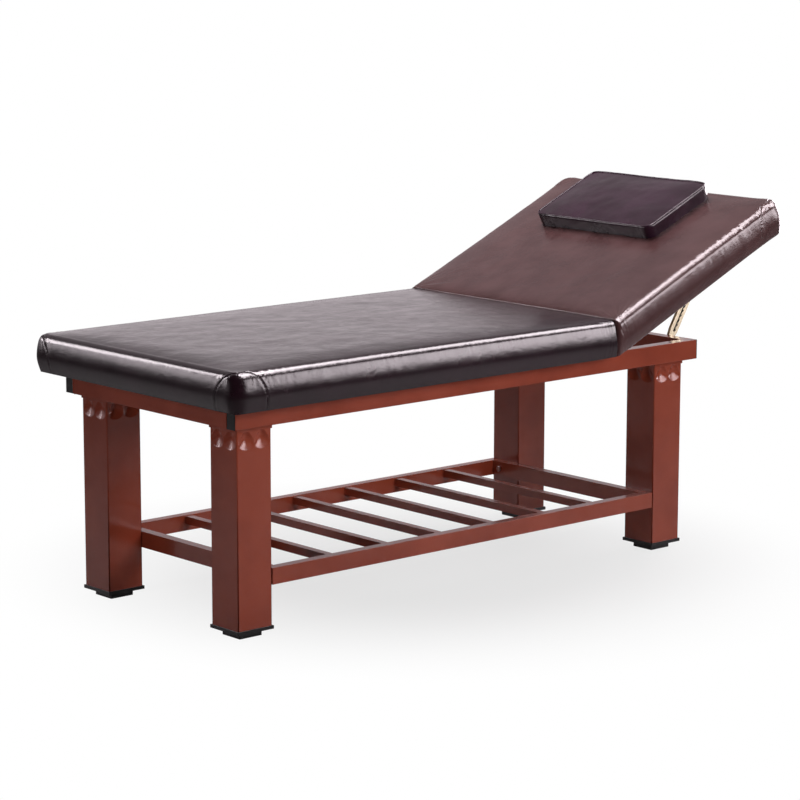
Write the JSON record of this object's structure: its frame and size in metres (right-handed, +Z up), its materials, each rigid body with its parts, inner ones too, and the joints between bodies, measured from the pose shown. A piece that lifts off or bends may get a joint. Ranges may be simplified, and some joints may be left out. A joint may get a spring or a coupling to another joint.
{
  "type": "folding massage bed",
  "caption": "Padded massage bed with a hinged backrest on toothed stays, a loose head pillow, square tube legs with pressed dents and a slatted lower shelf.",
  "frame": {"origin": "on the floor under the middle of the bed's overall length and width, with the backrest at its rest angle", "axes": "+X from the foot end to the head end, +Z up, -Y towards the near side of the picture"},
  "size_m": [1.8386, 0.7996, 0.9373],
  "materials": {
    "mahogany_paint": "gloss",
    "black_plastic": "satin",
    "zinc_fasteners": "satin",
    "plywood": "matte",
    "foam": "matte",
    "zinc_steel": "satin",
    "stay_steel": "satin",
    "seat_leather": "gloss",
    "back_leather": "gloss",
    "pillow_leather": "gloss"
  },
  "bodies": {
    "frame": {"side_rail_near": "mahogany_paint", "side_rail_far": "mahogany_paint", "cross_rail_foot": "mahogany_paint", "cross_rail_head": "mahogany_paint", "bearer_foot": "mahogany_paint", "bearer_middle": "mahogany_paint", "bearer_hinge": "mahogany_paint", "rail_end_plugs": "black_plastic", "corner_plates": "mahogany_paint", "board_tabs": "mahogany_paint", "board_screws": "zinc_fasteners", "leg_foot_near": "mahogany_paint", "leg_foot_far": "mahogany_paint", "leg_head_near": "mahogany_paint", "leg_head_far": "mahogany_paint", "leg_top_plates": "mahogany_paint", "leg_bolts": "zinc_fasteners", "glide_foot_near": "black_plastic", "glide_foot_far": "black_plastic", "glide_head_near": "black_plastic", "glide_head_far": "black_plastic", "shelf_rail_near": "mahogany_paint", "shelf_rail_far": "mahogany_paint", "shelf_cross_foot": "mahogany_paint", "shelf_cross_head": "mahogany_paint", "shelf_slat_1": "mahogany_paint", "shelf_slat_2": "mahogany_paint", "shelf_slat_3": "mahogany_paint", "shelf_slat_4": "mahogany_paint", "shelf_slat_5": "mahogany_paint", "shelf_slat_6": "mahogany_paint", "shelf_bolts": "zinc_fasteners", "shelf_rivet_nuts": "zinc_fasteners", "seat_board": "plywood", "seat_foam": "foam", "seat_cover": "seat_leather", "hinge_leaves_seat": "zinc_steel", "hinge_pins": "zinc_steel", "hinge_screws_seat": "zinc_fasteners", "stay_bracket_near": "zinc_steel", "stay_bracket_far": "zinc_steel", "stay_pins": "zinc_steel"},
    "backrest": {"back_board": "plywood", "back_foam": "foam", "back_cover": "back_leather", "hinge_leaves_back": "zinc_steel", "hinge_screws_back": "zinc_fasteners", "slide_bracket_near": "zinc_steel", "slide_bracket_far": "zinc_steel", "slide_pins": "zinc_steel", "bracket_screws": "zinc_fasteners"},
    "stay_near": {"stay_channel_near": "stay_steel"},
    "stay_far": {"stay_channel_far": "stay_steel"},
    "slide_near": {"stay_slide_near": "stay_steel"},
    "slide_far": {"stay_slide_far": "stay_steel"},
    "pillow": {"pillow_cover": "pillow_leather", "pillow_foam": "foam"}
  },
  "joints": [
    {"name": "backrest_hinge", "type": "hinge", "parent": "frame", "child": "backrest", "pos_m": [0.30555, 0, 0.549], "axis": [0, -1, 0], "range_deg": [-24, 6]},
    {"name": "stay_near_pivot", "type": "hinge", "parent": "frame", "child": "stay_near", "pos_m": [0.67755, -0.217, 0.539], "axis": [0, -1, 0], "range_deg": [-58.68, 14.75]},
    {"name": "slide_near_pivot", "type": "hinge", "parent": "backrest", "child": "slide_near", "pos_m": [0.81572, -0.217, 0.7652], "axis": [0, -1, 0], "range_deg": [-34.68, 8.75]},
    {"name": "stay_far_pivot", "type": "hinge", "parent": "frame", "child": "stay_far", "pos_m": [0.67755, 0.217, 0.539], "axis": [0, -1, 0], "range_deg": [-58.68, 14.75]},
    {"name": "slide_far_pivot", "type": "hinge", "parent": "backrest", "child": "slide_far", "pos_m": [0.81572, 0.217, 0.7652], "axis": [0, -1, 0], "range_deg": [-34.68, 8.75]},
    {"name": "pillow_lift", "type": "slide", "parent": "backrest", "child": "pillow", "axis": [-0.4067, 0, 0.9135], "range_m": [0, 0.15]}
  ],
  "couplings": [
    {"joint": "stay_near_pivot", "follows": "backrest_hinge", "ratio": 2.4409},
    {"joint": "slide_near_pivot", "follows": "backrest_hinge", "ratio": 1.4409},
    {"joint": "stay_far_pivot", "follows": "backrest_hinge", "ratio": 2.4409},
    {"joint": "slide_far_pivot", "follows": "backrest_hinge", "ratio": 1.4409}
  ]
}
